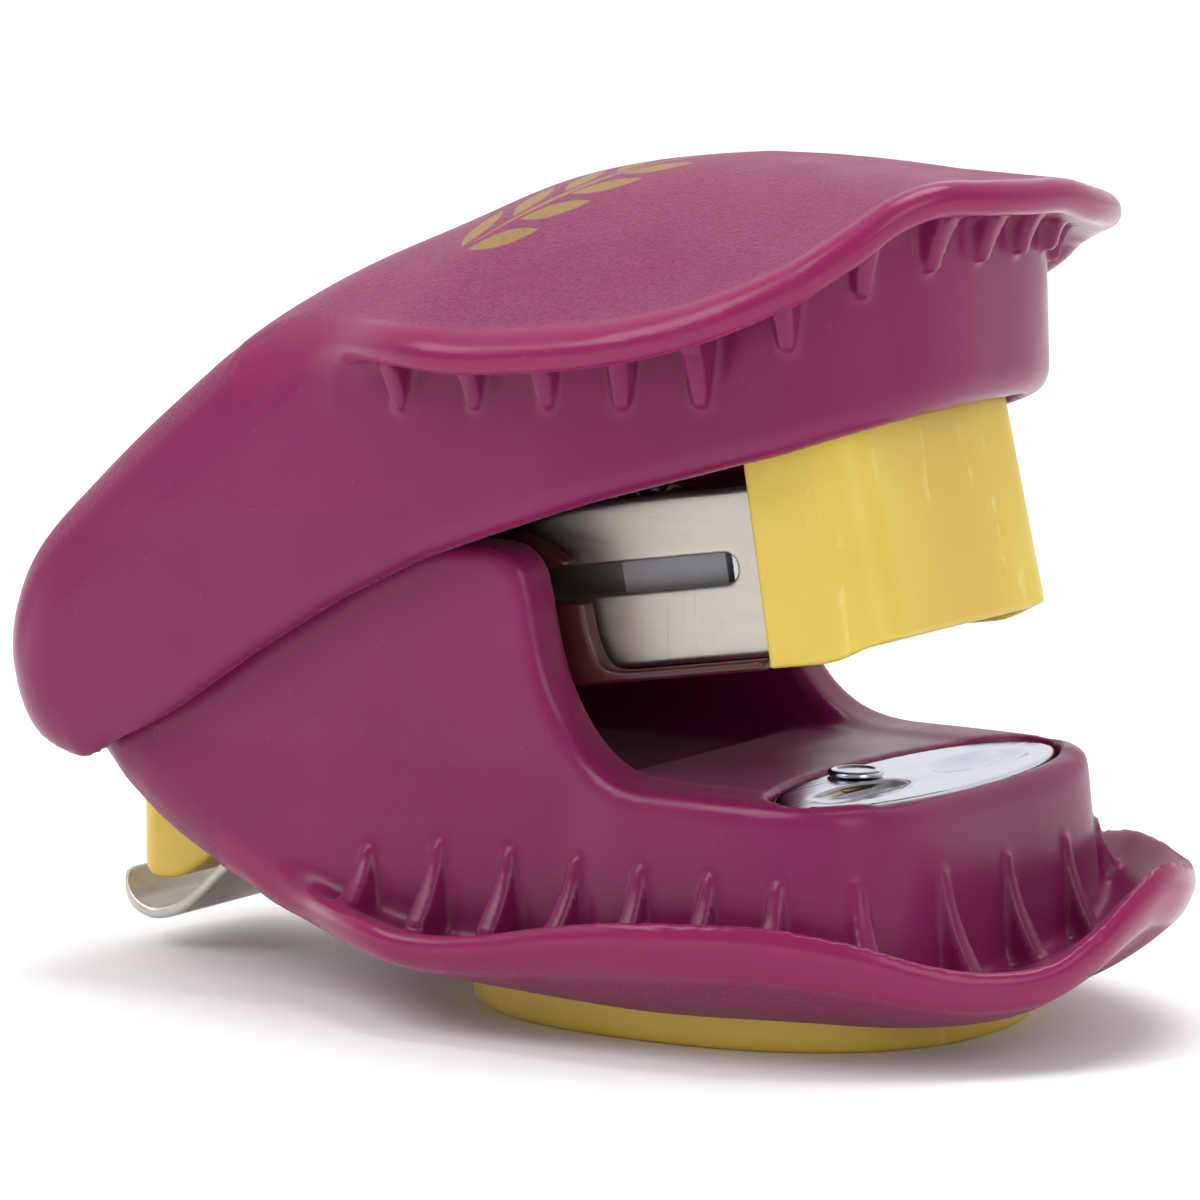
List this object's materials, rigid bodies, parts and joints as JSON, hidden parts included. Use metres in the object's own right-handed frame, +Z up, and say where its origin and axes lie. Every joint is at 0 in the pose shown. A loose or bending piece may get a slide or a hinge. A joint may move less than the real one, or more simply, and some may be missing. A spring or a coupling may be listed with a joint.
{
  "type": "mini stapler",
  "caption": "Palm-size stapler shaped like a Venus flytrap: two thorned plastic jaws, sprung steel magazine, chromed anvil and a steel staple-remover tongue.",
  "frame": {"origin": "centre of the foot's flat underside, on the table", "axes": "+X out of the mouth, +Z up, Y = 0 is the middle plane"},
  "size_m": [0.0617, 0.0346, 0.0429],
  "materials": {
    "plastic_magenta": "fine spark-eroded texture on top, smoother on the sides",
    "plastic_yellow": "satin moulded",
    "plastic_maroon": "translucent dark red, moulded",
    "plastic_dark": "matt moulded",
    "chrome": "bright nickel-chrome plate",
    "steel": "bright rolled strip",
    "spring_steel": "oiled spring wire",
    "staple_wire": "glued staple wire"
  },
  "bodies": {
    "base": {"lower_jaw_shell": "plastic_magenta", "foot_cover": "plastic_yellow", "anvil_plate": "chrome", "anvil_rivet": "chrome", "staple_remover": "steel", "remover_holder": "plastic_yellow", "pivot_pin": "steel", "lift_spring": "spring_steel"},
    "magazine": {"magazine_channel": "steel", "magazine_nose": "plastic_yellow", "magazine_cradle": "plastic_maroon", "staple_rail": "steel", "staple_strip": "staple_wire", "pusher_guide_rod": "steel", "rod_rear_stop": "steel", "rod_front_stop": "steel", "pusher_spring": "spring_steel"},
    "pusher": {"staple_pusher": "plastic_dark"},
    "handle": {"upper_jaw_shell": "plastic_magenta", "driver_blade": "spring_steel", "driver_carrier": "plastic_dark", "driver_screw_1": "steel", "driver_screw_2": "steel"}
  },
  "joints": [
    {"name": "magazine_hinge", "type": "hinge", "parent": "base", "child": "magazine", "pos_m": [-0.029, 0, 0.0165], "axis": [0, -1, 0], "range_deg": [-9.1, 0], "stiffness_Nm_per_rad": 0.05, "springref_deg": 20.05, "deforming": ["lift_spring"]},
    {"name": "handle_hinge", "type": "hinge", "parent": "magazine", "child": "handle", "pos_m": [-0.029, 0, 0.0165], "axis": [0, -1, 0], "range_deg": [-9.4, 28], "stiffness_Nm_per_rad": 0.06, "springref_deg": 1.72},
    {"name": "pusher_slide", "type": "slide", "parent": "magazine", "child": "pusher", "axis": [0.9871, 0, 0.1599], "range_m": [-0.012, 0], "stiffness_N_per_m": 20, "springref_m": 0.02, "deforming": ["pusher_spring"]}
  ]
}
